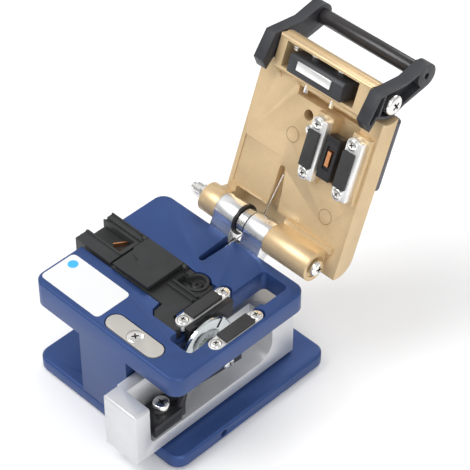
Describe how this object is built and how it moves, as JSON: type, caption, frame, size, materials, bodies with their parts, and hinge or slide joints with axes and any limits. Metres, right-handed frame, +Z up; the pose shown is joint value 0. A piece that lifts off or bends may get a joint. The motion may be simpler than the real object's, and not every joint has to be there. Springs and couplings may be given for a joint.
{
  "type": "fibre cleaver",
  "caption": "Bench fibre cleaver: blue deck on a base plate, gold sprung lid with a press lever, sliding carriage with a round blade and a fibre adapter.",
  "frame": {"origin": "middle of the rubber sole's underside", "axes": "+Z up, +X to the user's right, +Y towards the hinge at the back"},
  "size_m": [0.0687, 0.1183, 0.1],
  "materials": {
    "blue_anodised": "satin",
    "gold_casting": "satin",
    "satin_aluminium": "satin",
    "polished_steel": "polished",
    "bright_steel": "satin",
    "black_plastic": "matte",
    "grey_plastic": "matte",
    "black_rubber": "matte",
    "black_metal": "satin",
    "copper": "satin"
  },
  "bodies": {
    "base": {"sole_pad": "black_rubber", "base_plate": "blue_anodised", "base_screws": "bright_steel", "main_frame": "blue_anodised", "striker_plate": "satin_aluminium", "striker_screw": "bright_steel", "lower_left_clamp_plate": "bright_steel", "lower_left_pad": "black_rubber", "lower_right_clamp_plate": "bright_steel", "lower_right_pad": "black_rubber", "lower_clamp_screws": "bright_steel", "blade_guard": "black_metal", "hinge_bracket": "satin_aluminium", "hinge_bracket_screws": "bright_steel", "hinge_pin": "bright_steel", "hinge_nut": "bright_steel", "hinge_washers": "bright_steel", "torsion_spring": "bright_steel", "guide_rail": "satin_aluminium", "guide_rail_screws": "bright_steel", "adapter_body": "black_plastic", "adapter_clip": "copper", "adapter_screw": "black_metal", "cover_pin": "bright_steel"},
    "adapter_flap": {"adapter_cover": "black_plastic"},
    "carriage_slide": {"carriage": "satin_aluminium", "bearing_block": "satin_aluminium", "bearing_screws": "bright_steel", "blade_arm": "black_metal", "arm_foot_screw": "bright_steel", "arm_height_screw": "bright_steel", "arm_lock_screw": "bright_steel", "blade_axle_screw": "bright_steel"},
    "blade": {"blade_disc": "polished_steel", "blade_index_hub": "polished_steel"},
    "lid": {"lid_casting": "gold_casting", "lid_cover": "grey_plastic", "lid_cover_screws": "bright_steel", "upper_left_clamp_plate": "bright_steel", "upper_left_pad": "black_rubber", "upper_right_clamp_plate": "bright_steel", "upper_right_pad": "black_rubber", "upper_clamp_screws": "bright_steel", "upper_stop_screw": "bright_steel", "magnet_holder": "black_metal", "magnet": "polished_steel", "magnet_screws": "bright_steel", "spring_lid_leg": "bright_steel", "lever_pivots": "bright_steel"},
    "lever": {"lever_arm_left": "black_plastic", "lever_arm_right": "black_plastic", "lever_bar": "black_metal"},
    "anvil": {"anvil_body": "black_metal", "anvil_insert": "copper"}
  },
  "joints": [
    {"name": "lid_hinge", "type": "hinge", "parent": "base", "child": "lid", "pos_m": [0, 0.0292, 0.0427], "axis": [1, 0, 0], "range_deg": [0, 109.9], "stiffness_Nm_per_rad": 0.02, "springref_deg": -28.65},
    {"name": "lever_press", "type": "hinge", "parent": "lid", "child": "lever", "pos_m": [0, 0.05595, 0.0937], "axis": [1, 0, 0], "range_deg": [0, 24], "stiffness_Nm_per_rad": 0.01, "springref_deg": -20.05},
    {"name": "anvil_press", "type": "slide", "parent": "lid", "child": "anvil", "axis": [0, -0.9336, 0.3584], "range_m": [0, 0.0024]},
    {"name": "carriage_travel", "type": "slide", "parent": "base", "child": "carriage_slide", "axis": [0, 1, 0], "range_m": [0, 0.0175]},
    {"name": "blade_turn", "type": "hinge", "parent": "carriage_slide", "child": "blade", "pos_m": [0.02025, -0.0088, 0.0296], "axis": [1, 0, 0], "continuous": true},
    {"name": "cover_flip", "type": "hinge", "parent": "base", "child": "adapter_flap", "pos_m": [-0.009, 0.00235, 0.04115], "axis": [-1, 0, 0], "range_deg": [0, 15]}
  ],
  "couplings": [
    {"joint": "anvil_press", "follows": "lever_press", "m_per_rad": 0.00525}
  ]
}
